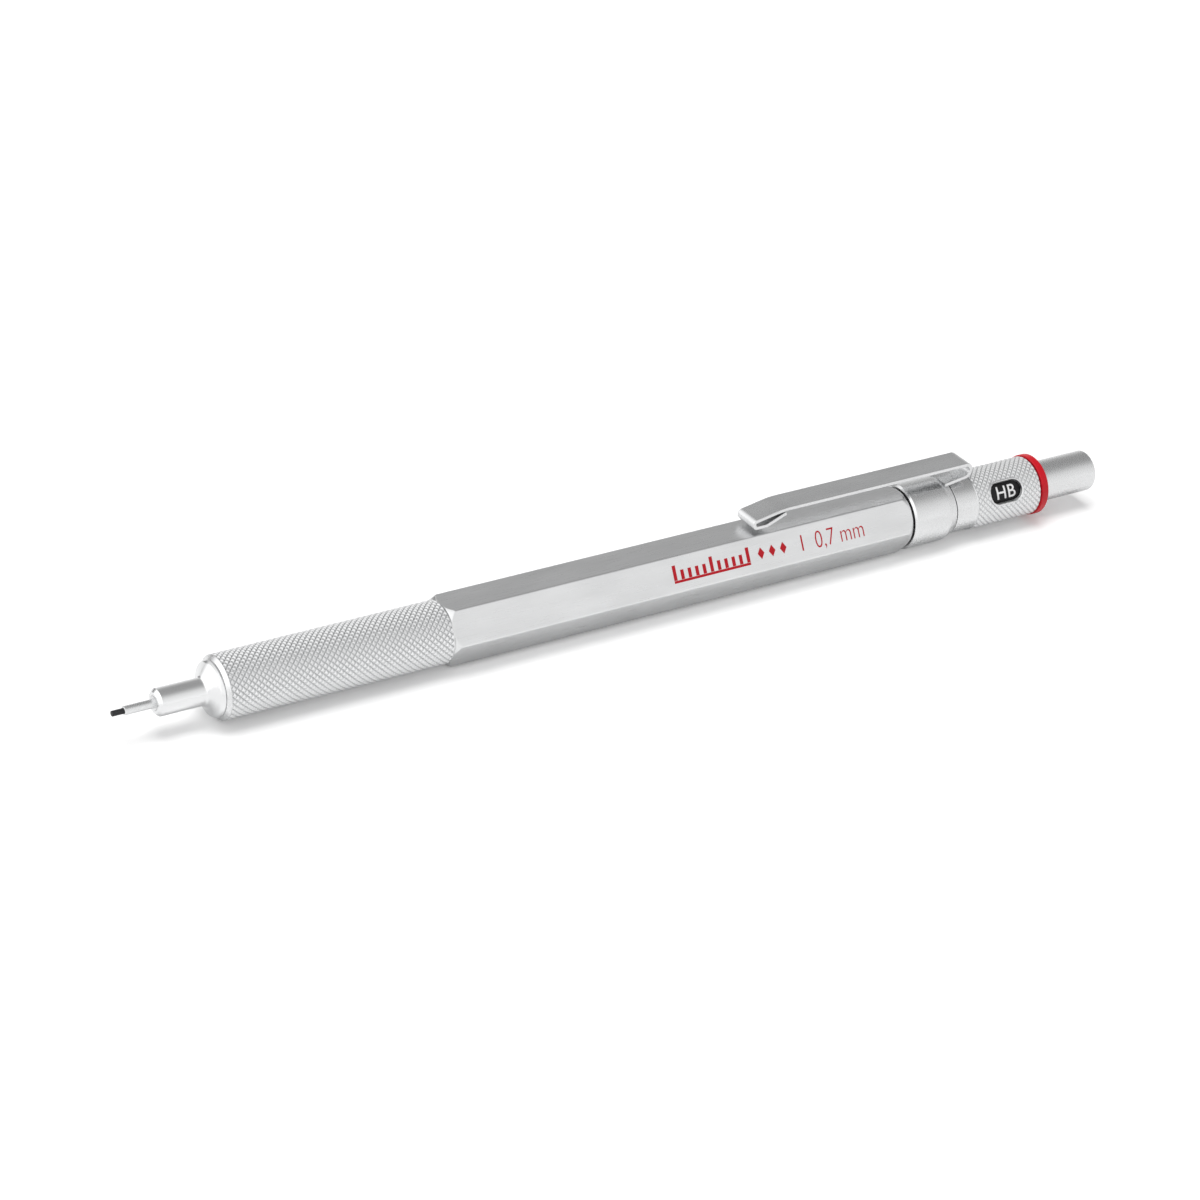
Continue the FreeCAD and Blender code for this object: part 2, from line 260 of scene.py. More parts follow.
def knurled(name, tip_radius, depth):
    """Plating whose grooves, judged by distance from the pencil's axis, are dull and carry painted
    shade: their colour darkens toward the groove floor.
    """
    material, tree, shader = new_finish(name, Metallic=1.0)
    fine = grain(tree, (1, 1, 1), 7.0)
    place = node(tree, "ShaderNodeSeparateXYZ")
    wire(tree, node(tree, "ShaderNodeTexCoord").outputs["Object"], place.inputs[0])
    above = maths(tree, "SUBTRACT", place.outputs["Z"], AXIS_HEIGHT * MM)
    reach = maths(tree, "SQRT", maths(tree, "ADD", maths(tree, "MULTIPLY", above, above),
                                      maths(tree, "MULTIPLY", place.outputs["Y"],
                                            place.outputs["Y"])))
    floor_r, lit_r = (tip_radius - depth) * MM, (tip_radius - depth * LIT_DEPTH) * MM
    rise = spread(tree, reach, 0.0, 0.8, floor_r, lit_r)
    # painted shade: the colour runs from the groove tone at the groove floor to the tip tone near
    # the tips
    tint(tree, shader, maths(tree, "ADD", rise, maths(tree, "MULTIPLY", fine, 0.2)),
         GROOVE_PAINTED_SHADE_TONE, TIP_TONE)
    wire(tree, spread(tree, rise, 0.55, 0.4, 0.0, 0.8), shader.inputs["Roughness"])
    relief(tree, shader, fine, 0.003)
    return material


def moulded(name, dark, light, rough_low, rough_high, pit=0.01, scale=6.0, **values):
    """Plastic, rubber or lead: faint mottling, a grain in the gloss and a fine texture."""
    material, tree, shader = new_finish(name, **values)
    fine = grain(tree, (1, 1, 1), scale)
    tint(tree, shader, fine, dark, light)
    wire(tree, spread(tree, fine, rough_low, rough_high), shader.inputs["Roughness"])
    relief(tree, shader, fine, pit)
    return material


satin = plated("satin_plating", (0.74, 0.745, 0.75), (0.80, 0.805, 0.81), 0.26, 0.36)
drawn_satin = plated("drawn_plating", (0.74, 0.745, 0.75), (0.80, 0.805, 0.81), 0.26, 0.35,
                     (0.08, 4, 4), 0.0015, 3.0)
turned_satin = plated("turned_satin_plating", (0.75, 0.755, 0.76), (0.81, 0.815, 0.82),
                      0.22, 0.34, (6, 1, 1), 0.003, 4.0)
bright = plated("polished_plating", (0.84, 0.845, 0.85), (0.88, 0.885, 0.89), 0.17, 0.25)
clip_satin = plated("clip_plating", (0.70, 0.705, 0.71), (0.77, 0.775, 0.78), 0.24, 0.34,
                    (0.15, 4, 4), 0.001, 5.0)
# both knurl finishes carry painted shade in their grooves
grip_knurl = knurled("grip_knurl_plating", 3.99, 0.19)
ring_knurl = knurled("ring_knurl_plating", 3.87, 0.15)
brass = plated("machined_brass", (0.70, 0.48, 0.18), (0.80, 0.58, 0.26), 0.2, 0.34,
               (5, 1, 1), 0.004, 4.0)
wire_steel = plated("spring_wire", (0.50, 0.51, 0.53), (0.60, 0.61, 0.63), 0.2, 0.32)
black_plastic = moulded("black_moulded", (0.004, 0.004, 0.0045), (0.009, 0.009, 0.010), 0.4, 0.55,
                        Specular_IOR_Level=0.25)
white_plastic = moulded("translucent_tube", (0.66, 0.67, 0.68), (0.76, 0.77, 0.78), 0.3, 0.42)
red_plastic = moulded("red_moulded", (0.52, 0.004, 0.012), (0.60, 0.006, 0.018), 0.3, 0.4,
                      Specular_IOR_Level=0.3)
red_print = moulded("red_print", (0.42, 0.008, 0.016), (0.52, 0.012, 0.022), 0.45, 0.6, 0.002, 10.0,
                    Specular_IOR_Level=0.25)
white_print = moulded("white_print", (0.80, 0.80, 0.80), (0.9, 0.9, 0.9), 0.4, 0.55, 0.002, 10.0)
dark_rubber = moulded("retainer_rubber", (0.03, 0.03, 0.03), (0.05, 0.05, 0.05), 0.6, 0.8, 0.02)
eraser_white = moulded("eraser_vinyl", (0.80, 0.79, 0.76), (0.88, 0.87, 0.85), 0.6, 0.8, 0.02, 4.0)
graphite = moulded("graphite_lead", (0.010, 0.010, 0.011), (0.035, 0.035, 0.038), 0.35, 0.55,
                   0.02, 12.0, Specular_IOR_Level=0.3)


# ---------------------------------------------------------------- knurling

def knurl_tree():
    """Rows of diamond teeth laid out flat, then wrapped round the pencil's axis."""
    tree = bpy.data.node_groups.new("diamond_knurl", "GeometryNodeTree")
    face = tree.interface
    face.new_socket("Geometry", in_out="OUTPUT", socket_type="NodeSocketGeometry")
    for label, kind in (("Teeth Around", "Int"), ("Teeth Along", "Int"), ("Start", "Float"),
                        ("Pitch", "Float"), ("Radius", "Float"), ("Depth", "Float"),
                        ("Flat", "Float"), ("Finish", "Material")):
        face.new_socket(label, in_out="INPUT", socket_type="NodeSocket" + kind)
    given = node(tree, "NodeGroupInput").outputs
    tooth = node(tree, "GeometryNodeMeshCone", fill_type="NGON")
    tooth.inputs["Vertices"].default_value = 4
    tooth.inputs["Radius Bottom"].default_value = 0.5
    wire(tree, maths(tree, "MULTIPLY", given["Flat"], 0.5), tooth.inputs["Radius Top"])
    wire(tree, given["Depth"], tooth.inputs["Depth"])
    facing = node(tree, "ShaderNodeSeparateXYZ")
    wire(tree, node(tree, "GeometryNodeInputNormal").outputs[0], facing.inputs[0])
    open_tooth = node(tree, "GeometryNodeDeleteGeometry", domain="FACE")
    wire(tree, tooth.outputs["Mesh"], open_tooth.inputs["Geometry"])
    wire(tree, maths(tree, "LESS_THAN", facing.outputs["Z"], -0.9), open_tooth.inputs["Selection"])
    rows = node(tree, "GeometryNodeJoinGeometry")
    for extra, shift in ((1, 0.0), (0, 0.5)):
        columns = maths(tree, "ADD", given["Teeth Along"], extra)
        lattice = node(tree, "GeometryNodeMeshGrid")
        wire(tree, maths(tree, "SUBTRACT", columns, 1), lattice.inputs["Size X"])
        wire(tree, maths(tree, "SUBTRACT", given["Teeth Around"], 1), lattice.inputs["Size Y"])
        wire(tree, columns, lattice.inputs["Vertices X"])
        wire(tree, given["Teeth Around"], lattice.inputs["Vertices Y"])
        corner = node(tree, "ShaderNodeCombineXYZ")
        wire(tree, maths(tree, "ADD", maths(tree, "MULTIPLY", maths(
            tree, "SUBTRACT", columns, 1), 0.5), shift), corner.inputs["X"])
        corner.inputs["Y"].default_value = shift
        moved = node(tree, "GeometryNodeTransform")
        wire(tree, lattice.outputs["Mesh"], moved.inputs["Geometry"])
        wire(tree, corner.outputs[0], moved.inputs["Translation"])
        stamped = node(tree, "GeometryNodeInstanceOnPoints")
        wire(tree, moved.outputs[0], stamped.inputs["Points"])
        wire(tree, open_tooth.outputs[0], stamped.inputs["Instance"])
        wire(tree, stamped.outputs[0], rows.inputs[0])
    solid = node(tree, "GeometryNodeRealizeInstances")
    wire(tree, rows.outputs[0], solid.inputs[0])
    flat_place = node(tree, "ShaderNodeSeparateXYZ")
    wire(tree, node(tree, "GeometryNodeInputPosition").outputs[0], flat_place.inputs[0])
    angle = maths(tree, "DIVIDE", maths(tree, "MULTIPLY", flat_place.outputs["Y"], math.tau),
                  given["Teeth Around"])
    reach = maths(tree, "ADD", maths(tree, "SUBTRACT", given["Radius"], given["Depth"]),
                  flat_place.outputs["Z"])
    wrapped = node(tree, "ShaderNodeCombineXYZ")
    station = maths(tree, "ADD", given["Start"],
                    maths(tree, "MULTIPLY", flat_place.outputs["X"], given["Pitch"]))
    side = maths(tree, "MULTIPLY", reach, maths(tree, "COSINE", angle))
    height = maths(tree, "ADD", maths(tree, "MULTIPLY", reach, maths(tree, "SINE", angle)),
                   AXIS_HEIGHT)
    wire(tree, maths(tree, "MULTIPLY", maths(tree, "SUBTRACT", station, MID_STATION), MM),
         wrapped.inputs["X"])
    wire(tree, maths(tree, "MULTIPLY", side, -MM), wrapped.inputs["Y"])
    wire(tree, maths(tree, "MULTIPLY", height, MM), wrapped.inputs["Z"])
    bent = node(tree, "GeometryNodeSetPosition")
    wire(tree, solid.outputs[0], bent.inputs["Geometry"])
    wire(tree, wrapped.outputs[0], bent.inputs["Position"])
    welded = node(tree, "GeometryNodeMergeByDistance")
    welded.inputs["Distance"].default_value = 1e-6
    wire(tree, bent.outputs[0], welded.inputs["Geometry"])
    coated = node(tree, "GeometryNodeSetMaterial")
    wire(tree, welded.outputs[0], coated.inputs["Geometry"])
    wire(tree, given["Finish"], coated.inputs["Material"])
    wire(tree, coated.outputs[0], node(tree, "NodeGroupOutput").inputs[0])
    return tree


def grown(tree, **inputs):
    """Runs a node tree with named inputs and returns the result as a plain mesh."""
    host = bpy.data.objects.new("host", bpy.data.meshes.new("host"))
    bpy.context.scene.collection.objects.link(host)
    grow = host.modifiers.new("grow", "NODES")
    grow.node_group = tree
    sockets = {s.name: s.identifier for s in tree.interface.items_tree if s.in_out == "INPUT"}
    for label, value in inputs.items():
        grow[sockets[label.replace("_", " ")]] = value
    bpy.context.view_layer.update()
    evaluated = host.evaluated_get(bpy.context.evaluated_depsgraph_get())
    mesh = bpy.data.meshes.new_from_object(evaluated)
    bpy.data.objects.remove(host)
    return mesh


def knurled_band(tree, teeth, along, start, length, radius, inner, depth, flat, finish):
    """A closed tube whose outside is knurled; returned as a bmesh."""
    mesh = grown(tree, Teeth_Around=teeth, Teeth_Along=along, Start=start, Pitch=length / along,
                 Radius=radius, Depth=depth, Flat=flat, Finish=finish)
    band = bmesh.new()
    band.from_mesh(mesh)
    bpy.data.meshes.remove(mesh)
    for face in band.faces:      # the tree numbers its material after an empty slot
        face.material_index = 0
    for station, way in ((start, -1), (start + length, 1)):
        bmesh.ops.bisect_plane(band, geom=band.verts[:] + band.edges[:] + band.faces[:], dist=1e-7,
                               plane_co=in_frame(station, 0, 0), plane_no=(way, 0, 0),
                               clear_outer=True)
    bmesh.ops.remove_doubles(band, verts=band.verts, dist=1e-6)
    rim = [e for e in band.edges if len(e.link_faces) == 1]
    walls = bmesh.ops.extrude_edge_only(band, edges=rim)["geom"]
    for vert in (g for g in walls if isinstance(g, bmesh.types.BMVert)):
        out = Vector((0, vert.co.y, vert.co.z - AXIS_HEIGHT * MM)).normalized()
        vert.co = Vector((vert.co.x, 0, AXIS_HEIGHT * MM)) + out * inner * MM
    inner_rims = [e for e in band.edges if len(e.link_faces) == 1]
    bmesh.ops.bridge_loops(band, edges=inner_rims)
    return band


# ---------------------------------------------------------------- nose and grip

LEAD_R = 0.35


def make_lead():
    piece = turned("lead_core", graphite, [
        (-1.5, 0), (-1.5, LEAD_R, 0.06), (48.5, LEAD_R, 0.05), (48.5, 0)])
    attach(piece, "lead")
    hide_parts("lead")


def make_sleeve():
    piece = turned("guide_sleeve", turned_satin, [
        (0, 0.38), (0, 0.55, 0.08), (3.88, 0.55), (3.88, 0.90), (6.2, 0.90), (6.2, 0.38)])
    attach(piece, "barrel")
    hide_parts("lead_sleeve")


def make_nose():
    piece = turned("nose_tip", bright, [
        (3.9, 0.93), (3.9, 1.30, 0.05), (4.3, 1.70, 0.12), (10.0, 1.70, 0.35), (11.0, 3.35, 0.3),
        (11.40, 3.50, 0.15), (11.56, 3.46, 0.04), (11.56, 2.9), (15.85, 2.9), (16.1, 2.65),
        (16.1, 2.2), (12.95, 2.2), (12.95, 1.40), (9.0, 1.40), (9.0, 1.16), (6.4, 1.16),
        (6.4, 0.93)])
    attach(piece, "barrel")
    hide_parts("nose_cone")


def make_grip(tree):
    shell = knurled_band(tree, 30, 37, 12.05, 29.9, 3.99, 3.62, 0.19, 0.34, grip_knurl)
    add_plain_ends(shell, [
        (11.6, 2.91), (11.6, 3.47, 0.03), (12.0, 3.97, 0.05), (12.045, 3.97), (12.045, 3.61),
        (41.955, 3.61), (41.955, 3.96), (42.1, 3.96, 0.02), (42.1, 3.1),
        (49.7, 3.1), (50.0, 2.8), (50.0, 2.75), (17.0, 2.75), (17.0, 2.91)])
    piece = finish_mesh("knurled_grip", shell, grip_knurl, crease_deg=25)
    piece.data.materials.append(turned_satin)
    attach(piece, "barrel")
    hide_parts("grip_sleeve")


# ---------------------------------------------------------------- feed spring

SPRING_START, SPRING_END, SPRING_TURNS, COIL_R, WIRE_R = 18.4, 29.8, 9, 1.75, 0.168


def make_spring(steps_per_turn=28, round_wire=10):
    """The feed spring: a helix of round wire with capped ends."""
    coil = bmesh.new()
    steps = SPRING_TURNS * steps_per_turn
    first, last = SPRING_START + WIRE_R, SPRING_END - WIRE_R
    rings = []
    for i in range(steps + 1):
        station, angle = first + (last - first) * i / steps, math.tau * i / steps_per_turn
        rings.append([on_round(station + WIRE_R * math.cos(math.tau * j / round_wire),
                               COIL_R + WIRE_R * math.sin(math.tau * j / round_wire), angle)
                      for j in range(round_wire)])
    rows = add_rings(coil, rings, False)
    for end in (rows[0], rows[-1]):
        coil.faces.new(end)
    piece = finish_mesh("feed_spring", coil, wire_steel)
    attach(piece, "mechanism")
    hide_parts("return_spring")
    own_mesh(piece)


# ---------------------------------------------------------------- barrel

HEX_CORNER, HEX_ROUND, HEX_START, HEX_END = 4.48, 0.25, 42.12, 110.7


def hexagon(per_flat=16):
    """Points round the hexagonal section as (angle, radius), with softly rounded corners."""
    corners = [(HEX_CORNER * math.cos(math.tau * k / 6), HEX_CORNER * math.sin(math.tau * k / 6),
                HEX_ROUND) for k in range(6)]
    soft = round_corners(corners, steps=6)
    points = []
    for i, here in enumerate(soft):
        following = soft[(i + 1) % len(soft)]
        if (following - here).length < HEX_ROUND * 4:
            points.append(here)
            continue
        shares = [0, 0.015] + [c / per_flat for c in range(1, per_flat)] + [0.985]
        points += [here.lerp(following, share) for share in shares]
    return [(math.atan2(p.y, p.x), p.length) for p in points]


def make_barrel():
    """The hexagonal tube; a shallow cone at each end cuts scallops into its flats."""
    ends = ((HEX_START, 1, 3.97, 1.5), (HEX_END, -1, 3.90, 1.9))
    soft = 0.05
    columns = []
    for angle, radius in hexagon():
        outer = []
        for station, way, face_r, slope in ends:
            face_r = min(face_r, radius - 0.02)
            cut = station + way * (radius - face_r) * slope
            side = [(station, face_r), (cut - way * min(soft, abs(cut - station) / 2),
                                        radius - min(soft, abs(cut - station) / 2) / slope),
                    (cut + way * soft, radius), (cut + way * 2 * soft, radius)]
            outer += side if way > 0 else side[::-1]
        columns.append((angle, outer + [(HEX_END, 3.22), (50.5, 3.22), (50.5, 3.12),
                                        (HEX_START, 3.12)]))
    mesh_edit = bmesh.new()
    rings = [[on_round(column[i][0], column[i][1], angle) for angle, column in columns]
             for i in range(len(columns[0][1]))]
    add_rings(mesh_edit, rings, True)
    piece = finish_mesh("hexagonal_barrel", mesh_edit, drawn_satin, crease_deg=28)
    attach(piece, "barrel")
    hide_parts("hex_barrel")


def make_band():
    piece = turned("clip_ring", turned_satin, [
        (110.95, 3.4), (110.95, 4.05, 0.03), (111.2, 4.3, 0.05), (116.5, 4.3, 1.2),
        (118.02, 3.75, 0.3), (118.02, 3.4)])
    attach(piece, "barrel")
    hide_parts("clip_band")


# ---------------------------------------------------------------- hardness indicator

WINDOW_AT, WINDOW_LENGTH, WINDOW_WIDTH, WINDOW_ANGLE = 126.15, 5.1, 2.95, math.radians(30)
WINDOW_ROUNDNESS = 0.92   # corner radius as a share of the window's half width
WINDOW_WRAP_R = 3.8       # radius at which the window's width is measured round the ring
WINDOW_LIP = ((3.34, 0.0), (3.80, 0.0), (3.885, 0.06), (3.885, 0.2), (3.70, 0.26), (3.34, 0.26))


def carve(piece, cutter):
    """Cuts one closed mesh object out of another."""
    cut = piece.modifiers.new("cut", "BOOLEAN")
    cut.object, cut.operation, cut.solver = cutter, "DIFFERENCE", "EXACT"
    bpy.context.view_layer.update()
    evaluated = piece.evaluated_get(bpy.context.evaluated_depsgraph_get())
    mesh = bpy.data.meshes.new_from_object(evaluated)
    piece.modifiers.clear()
    piece.data = mesh
    bpy.data.objects.remove(cutter)


def window_loop(grow, steps=10):
    """The window's outline as (station, distance round) points, grown by an even margin."""
    half_l, half_w = WINDOW_LENGTH / 2 + grow, WINDOW_WIDTH / 2 + grow
    corner = half_w * WINDOW_ROUNDNESS
    loop = [(half_l, half_w, corner), (-half_l, half_w, corner), (-half_l, -half_w, corner),
            (half_l, -half_w, corner)]
    return round_corners(loop, steps)


def window_ring(radius, grow):
    """The window's outline laid on a cylinder of that radius."""
    return [on_round(WINDOW_AT + p.x, radius, WINDOW_ANGLE + p.y / WINDOW_WRAP_R)
            for p in window_loop(grow)]


def make_grade_ring(tree):
    shell = knurled_band(tree, 30, 13, 121.45, 10.15, 3.87, 3.6, 0.15, 0.36, ring_knurl)
    add_plain_ends(shell, [
        (118.08, 3.34), (118.08, 3.75, 0.04), (121.4, 3.75, 0.03), (121.445, 3.82), (121.445, 3.59),
        (131.605, 3.59), (131.605, 3.84), (131.75, 3.76, 0.04), (131.75, 3.34)])
    piece = finish_mesh("hardness_ring", shell, ring_knurl, crease_deg=25)
    piece.data.materials.append(turned_satin)
    hole = bmesh.new()
    rows = add_rings(hole, [window_ring(2.9, 0.0), window_ring(4.4, 0.0)], False)
    for row in rows:
        hole.faces.new(row)
    carve(piece, finish_mesh("window_cutter", hole, ring_knurl))
    lip = bmesh.new()
    add_rings(lip, [window_ring(radius, grow) for radius, grow in WINDOW_LIP], True)
    rim = finish_mesh("window_rim", lip, satin)
    for part in (piece, rim):
        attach(part, "grade_ring")
    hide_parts("grade_ring")


CAPITAL_SHARE = 0.7       # height of a capital as a share of the type size
PRINT_HALF = 0.006        # half the thickness of printed marks


def lettering(name, text, height, weight, spacing=1.0):
    """Flat letters as a thin closed mesh, centred, with their capitals at the given height."""
    curve = bpy.data.curves.new(name, "FONT")
    curve.body = text
    curve.align_x = "CENTER"
    curve.space_character = spacing
    curve.size = height / CAPITAL_SHARE
    curve.offset = weight
    curve.extrude = PRINT_HALF
    curve.resolution_u = 4
    label = bpy.data.objects.new(name, curve)
    bpy.context.scene.collection.objects.link(label)
    bpy.context.view_layer.update()
    mesh = bpy.data.meshes.new_from_object(
        label.evaluated_get(bpy.context.evaluated_depsgraph_get()))
    bpy.data.objects.remove(label)
    letters = bmesh.new()
    letters.from_mesh(mesh)
    bpy.data.meshes.remove(mesh)
    for vert in letters.verts:
        vert.co.y -= height / 2
    return letters


GRADES = ("HB", "B", "2B", "2H", "H", "F")
GRADE_PRINT_R = 3.305     # just above the drum
GRADE_HEIGHT, GRADE_WEIGHT, GRADE_SPACING = 1.7, 0.02, 1.06
GRADE_SHIFT = 0.2         # toward the push button from the window's middle
BEND_STEP, BEND_CUTS = 0.2, range(-5, 6)


def make_grade_scale():
    """Lead hardnesses printed round the drum, one under the window."""
    for k, grade in enumerate(GRADES):
        letters = lettering("grade_" + grade, grade, GRADE_HEIGHT, GRADE_WEIGHT, GRADE_SPACING)
        for cut in BEND_CUTS:
            bmesh.ops.bisect_plane(letters, geom=letters.verts[:] + letters.edges[:]
                                   + letters.faces[:], plane_co=(0, cut * BEND_STEP, 0),
                                   plane_no=(0, 1, 0))
        turn = WINDOW_ANGLE + k * math.tau / len(GRADES)
        for vert in letters.verts:
            vert.co = on_round(WINDOW_AT + GRADE_SHIFT + vert.co.x, GRADE_PRINT_R + vert.co.z,
                               turn + vert.co.y / GRADE_PRINT_R)
        piece = finish_mesh("grade_" + grade, letters, white_print, outward=False)
        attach(piece, "barrel")


def make_end_ring():
    piece = turned("coloured_ring", red_plastic, [
        (131.85, 3.31), (131.85, 4.0, 0.14), (132.9, 4.0, 0.16), (132.9, 2.80, 0.05),
        (132.52, 2.80), (132.52, 3.31)])
    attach(piece, "barrel")
    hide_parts("red_end_ring")


def make_button():
    piece = turned("push_cap", turned_satin, [
        (129.5, 2.04), (129.5, 2.69, 0.1), (142.0, 2.69, 0.35), (142.0, 0), (141.4, 0),
        (141.4, 2.04)])
    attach(piece, "cap")
    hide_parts("button_cap")


# ---------------------------------------------------------------- clip

CLIP_HALF, CLIP_SHEET = 1.775, 0.5
CLIP_PATH = [(116.9, 4.06), (120.95, 4.68, 0.87), (120.95, 6.30, 0.87), (91.2, 6.30, 12.0),
             (86.45, 5.42, 0.42), (87.1, 4.6, 0.35), (88.8, 4.6, 1.4), (91.6, 5.72)]


def make_clip():
    """Sheet bent along its path: rear bend, flat top, and a nose folded back underneath."""
    path = shored(round_corners(CLIP_PATH, steps=9, closed=False), closed=False)
    half_t, edge = CLIP_SHEET / 2, 0.1
    section = round_corners([(CLIP_HALF, half_t, edge), (-CLIP_HALF, half_t, edge),
                             (-CLIP_HALF, -half_t, edge), (CLIP_HALF, -half_t, edge)], steps=3)
    section = shored(section, reach=0.03)
    rings = []
    for i, here in enumerate(path):
        before = (here - path[max(i - 1, 0)]).normalized()
        after = (path[min(i + 1, len(path) - 1)] - here).normalized()
        along = (before + after).normalized()
        normal = Vector((-along.y, along.x))
        rings.append([in_frame(here.x + normal.x * p.y, p.x, here.y + normal.y * p.y)
                      for p in section])
    mesh_edit = bmesh.new()
    rows = add_rings(mesh_edit, rings, False)
    for row in (rows[0], rows[-1]):
        mesh_edit.faces.new(row)
    piece = finish_mesh("spring_clip", mesh_edit, clip_satin)
    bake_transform(piece)
    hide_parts("pocket_clip")


# ---------------------------------------------------------------- print on the barrel

FLAT_HEIGHT = HEX_CORNER * math.cos(math.pi / 6) + 0.008
PRINT_ANGLE = math.radians(30)


def on_flat(station, up, lift):
    """A point on the printed flat: up is toward the clip, lift is off the metal."""
    reach = FLAT_HEIGHT + lift
    side = reach * math.cos(PRINT_ANGLE) - up * math.sin(PRINT_ANGLE)
    height = reach * math.sin(PRINT_ANGLE) + up * math.cos(PRINT_ANGLE)
    return in_frame(station, -side, height)


def add_mark(mesh_edit, corners):
    """A thin printed patch with the given (station, up) outline."""
    low = [mesh_edit.verts.new(on_flat(*c, -PRINT_HALF)) for c in corners]
    high = [mesh_edit.verts.new(on_flat(*c, PRINT_HALF)) for c in corners]
    mesh_edit.faces.new(high)
    mesh_edit.faces.new(low[::-1])
    for i in range(len(corners)):
        j = (i + 1) % len(corners)
        mesh_edit.faces.new((low[i], low[j], high[j], high[i]))


TICK_COUNT, TICK_START, TICK_STEP, TICK_HALF = 11, 74.0, 1.1, 0.24
TICK_FOOT, LONG_TICK, SHORT_TICK, LONG_EVERY = -0.75, 1.15, 0.45, 5
LOZENGE_STATIONS, LOZENGE_HALF_LENGTH, LOZENGE_HALF_WIDTH = (87.0, 88.7, 90.4), 0.5, 0.75
SIZE_HEIGHT, SIZE_WEIGHT = 2.25, -0.04


def make_print():
    """A plain scale, three lozenges, a bar and the lead size, all in red."""
    marks = bmesh.new()
    for k in range(TICK_COUNT):
        station = TICK_START + k * TICK_STEP
        top = LONG_TICK if k % LONG_EVERY == 0 else SHORT_TICK
        low, high = station - TICK_HALF, station + TICK_HALF
        add_mark(marks, [(low, TICK_FOOT), (high, TICK_FOOT), (high, top), (low, top)])
    add_mark(marks, [(73.76, -1.1), (85.24, -1.1), (85.24, -0.78), (73.76, -0.78)])
    for station in LOZENGE_STATIONS:
        add_mark(marks, [(station - LOZENGE_HALF_LENGTH, 0), (station, -LOZENGE_HALF_WIDTH),
                         (station + LOZENGE_HALF_LENGTH, 0), (station, LOZENGE_HALF_WIDTH)])
    add_mark(marks, [(93.2, -1.0), (93.42, -1.0), (93.42, 1.0), (93.2, 1.0)])
    piece = finish_mesh("printed_scale", marks, red_print)
    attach(piece, "barrel")
    letters = lettering("lead_size", "0,7 mm", SIZE_HEIGHT, SIZE_WEIGHT)
    for vert in letters.verts:
        vert.co = on_flat(99.15 + vert.co.x * 0.8, vert.co.y, vert.co.z)
    piece = finish_mesh("printed_lead_size", letters, red_print, outward=False)
    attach(piece, "barrel")


# ---------------------------------------------------------------- pieces kept from the frame

KEPT = {
    "lead_retainer": dark_rubber, "chuck_housing": black_plastic, "clutch_ring": brass,
    "chuck": brass, "chuck_coupler": brass, "reservoir_tube": white_plastic,
    # rear_bushing is a real part, but its black is also painted shade: its flange sits in the
    # narrow gap between barrel and clip ring, and that gap shows dark.
    "spare_leads": graphite, "rear_bushing": black_plastic,
    "grade_drum": black_plastic, "eraser_ferrule": white_plastic, "eraser": eraser_white,
    "cleaning_pin": wire_steel,
}


def finish_kept():
    for name, material in KEPT.items():
        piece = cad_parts[name]
        piece.data.materials.clear()
        piece.data.materials.append(material)


# ---------------------------------------------------------------- studio

WORLD_ON_MATT = 0.5       # the surroundings light matt things less than they show in metal
WORLD_SEEN = 1.0          # the plain backdrop that the camera itself sees
FLOOR_LIFT = 0.2         # how much paler the floor looks to the camera, as if overexposed


def make_floor():
    material, tree, shader = new_finish("pale_floor", Roughness=0.9)
    tint(tree, shader, grain(tree, (0.05, 0.05, 0.05), 1.0), (0.90, 0.90, 0.90), (0.91, 0.91, 0.91))
    shader.inputs["Emission Color"].default_value = (1, 1, 1, 1)
    seen = node(tree, "ShaderNodeLightPath").outputs["Is Camera Ray"]
    wire(tree, maths(tree, "MULTIPLY", seen, FLOOR_LIFT), shader.inputs["Emission Strength"])
    sheet = bmesh.new()
    reach = 3.0
    sheet.faces.new([sheet.verts.new((x, y, 0)) for x, y in
                     ((-reach, -reach), (reach, -reach), (reach, reach), (-reach, reach))])
    finish_mesh("studio_floor", sheet, material, outward=False)


def make_lamp(name, position, aim, size, watts, in_reflections):
    lamp = bpy.data.lights.new(name, "AREA")
    lamp.shape, lamp.size, lamp.size_y = "RECTANGLE", *size
    lamp.energy = watts
    holder = bpy.data.objects.new(name, lamp)
    holder.location = position
    holder.rotation_euler = (Vector(aim) - Vector(position)).to_track_quat("-Z", "Y").to_euler()
    holder.visible_glossy = in_reflections
    bpy.context.scene.collection.objects.link(holder)


def facing(tree, ray, direction):
    """How nearly a ray points along a direction: 1 when it does, 0 at a right angle."""
    product = node(tree, "ShaderNodeVectorMath", operation="DOT_PRODUCT")
    product.inputs[1].default_value = Vector(direction).normalized()
    wire(tree, ray, product.inputs[0])
    return product.outputs["Value"]


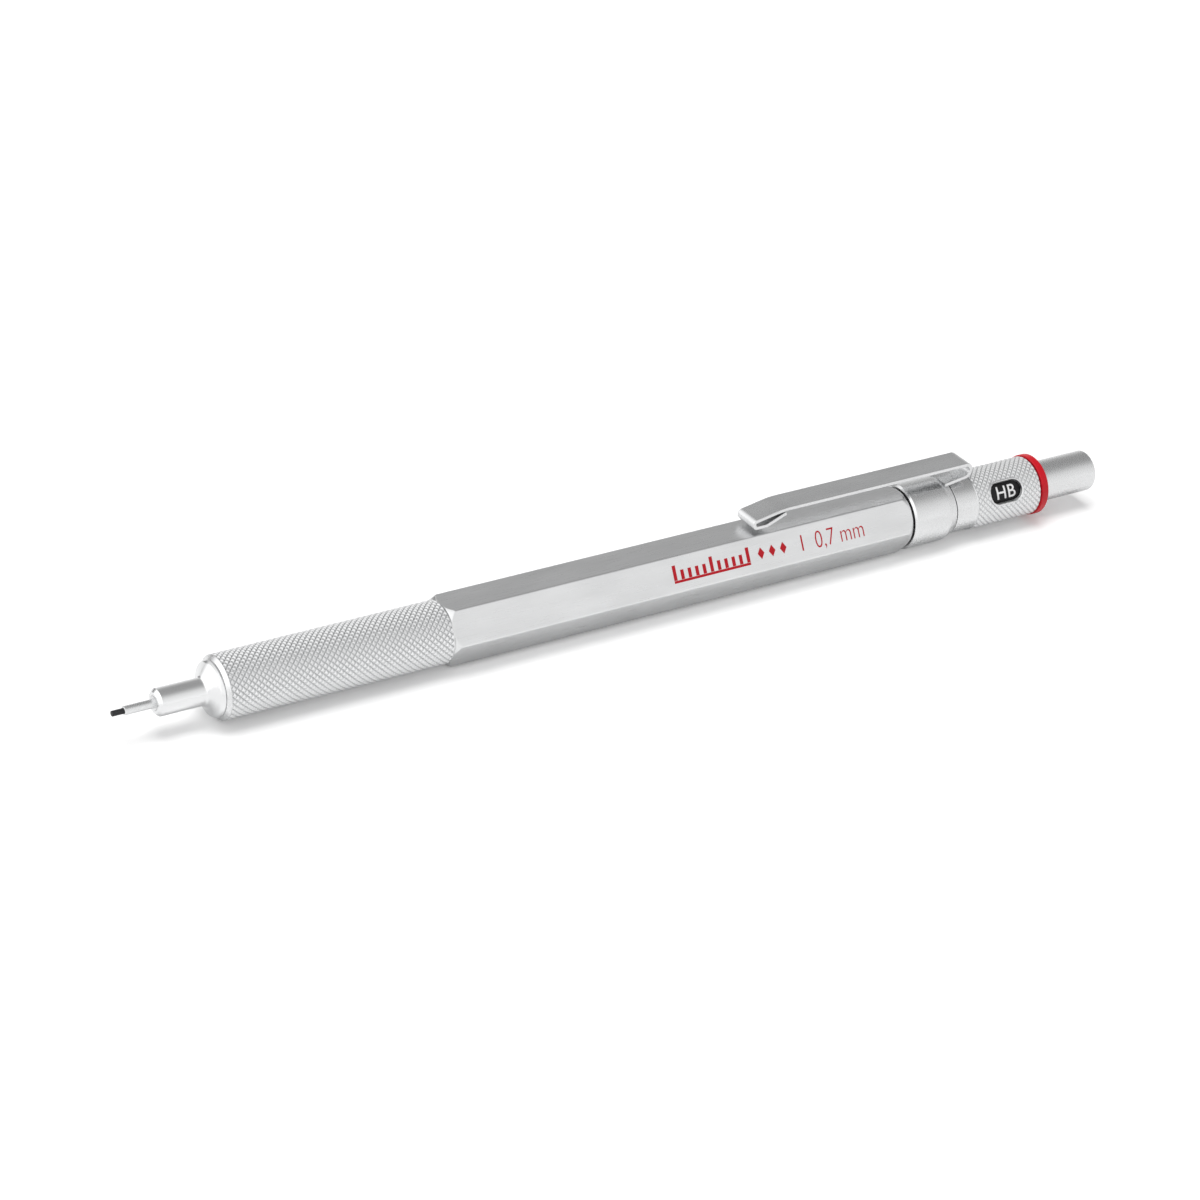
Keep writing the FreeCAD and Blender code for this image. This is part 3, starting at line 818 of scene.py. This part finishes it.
def make_world():
    """Pale surroundings, one soft dark patch overhead and a bright one beyond the tip."""
    world = bpy.data.worlds.new("studio")
    bpy.context.scene.world = world
    world.use_nodes = True
    tree = world.node_tree
    ray = node(tree, "ShaderNodeTexCoord").outputs["Generated"]
    ramp = node(tree, "ShaderNodeValToRGB")
    stops = ramp.color_ramp.elements
    levels = ((0.0, 1.05), (0.35, 0.92), (0.6, 0.80), (0.76, 0.58), (0.86, 0.42), (0.98, 0.33))
    while len(stops) < len(levels):
        stops.new(0.5)
    for stop, (position, level) in zip(stops, levels):
        stop.position, stop.color = position, (level, level, level, 1)
    wire(tree, facing(tree, ray, (0.5, 0.3, 0.81)), ramp.inputs["Fac"])
    glow = spread(tree, facing(tree, ray, (-0.7, 0.25, 0.65)), 0.0, 0.5, 0.35, 0.95)
    dusk = spread(tree, facing(tree, ray, (-0.2, 0.95, 0.12)), 0.0, -0.8, 0.9, 0.97)
    tone = maths(tree, "ADD", maths(tree, "ADD", ramp.outputs["Color"], glow), dusk)
    on_matt = node(tree, "ShaderNodeLightPath").outputs["Is Diffuse Ray"]
    dimming = spread(tree, on_matt, 1.0, WORLD_ON_MATT, 0.0, 1.0)
    seen = maths(tree, "MULTIPLY", node(tree, "ShaderNodeLightPath").outputs["Is Camera Ray"],
                 WORLD_SEEN)
    wire(tree, maths(tree, "MAXIMUM", maths(tree, "MULTIPLY", tone, dimming), seen),
         tree.nodes["Background"].inputs["Color"])


def make_camera():
    azimuth, elevation, roll = math.radians(-35.483), math.radians(29.317), math.radians(5.071)
    back = Vector((math.sin(azimuth) * math.cos(elevation),
                   -math.cos(azimuth) * math.cos(elevation), math.sin(elevation)))
    level = Vector((math.cos(azimuth), math.sin(azimuth), 0))
    up = back.cross(level)
    right = level * math.cos(roll) + up * math.sin(roll)
    top = up * math.cos(roll) - level * math.sin(roll)
    target = in_frame(71, 0, 0) + (right * -4.749 + top * -2.281) * MM
    camera = bpy.data.cameras.new("camera")
    camera.lens, camera.sensor_width = 119.005, 36
    camera.clip_start = 0.01
    holder = bpy.data.objects.new("camera", camera)
    turn = Matrix((right, top, back)).transposed()
    holder.matrix_world = Matrix.Translation(target + back * 490.379 * MM) @ turn.to_4x4()
    bpy.context.scene.collection.objects.link(holder)
    bpy.context.scene.camera = holder


knurl = knurl_tree()
make_lead()
make_sleeve()
make_nose()
make_grip(knurl)
make_spring()
make_barrel()
make_band()
make_grade_ring(knurl)
make_grade_scale()
make_end_ring()
make_button()
make_clip()
make_print()
finish_kept()
make_floor()
make_world()
make_lamp("top_soft", (0.0, 0.07, 0.9), (0, 0, 0), (0.65, 0.55), 6.0, False)
make_camera()
bpy.context.scene.view_settings.view_transform = "Standard"
